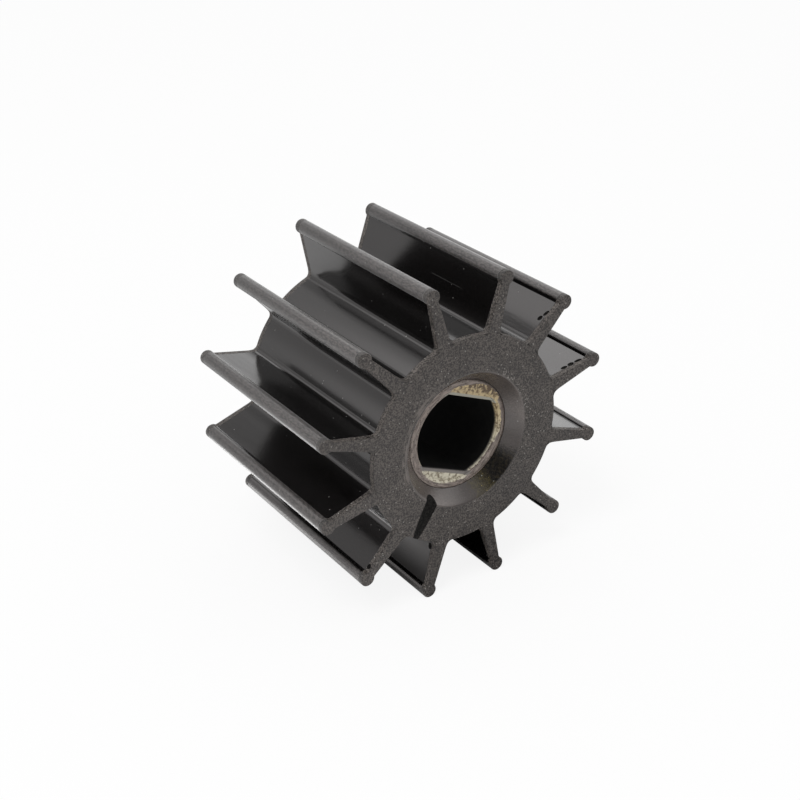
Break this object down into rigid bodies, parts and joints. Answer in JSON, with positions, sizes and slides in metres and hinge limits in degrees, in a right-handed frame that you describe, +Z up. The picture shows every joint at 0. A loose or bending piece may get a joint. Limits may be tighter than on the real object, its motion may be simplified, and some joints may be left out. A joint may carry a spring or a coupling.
{
  "type": "rubber pump impeller",
  "caption": "Flexible-vane rubber impeller for a water pump, with straight round-tipped vanes and a bonded brass insert with a double-flat bore.",
  "frame": {"origin": "on the bore's axis at mid width, which is also the centre of the bounding box", "axes": "+Y along the bore's axis, away from the end with the groove; +Z up, with the wheel lying on two neighbouring vane tips; +X to the right when looking along +Y"},
  "size_m": [0.0552, 0.0382, 0.0552],
  "materials": {
    "rubber": "moulded black rubber: matt trimmed ends, glossier moulded vane sides",
    "brass": "dull stained brass, smeared with rubber round its end faces"
  },
  "bodies": {
    "root": {"rubber_impeller": "rubber", "brass_insert": "brass"}
  },
  "joints": []
}
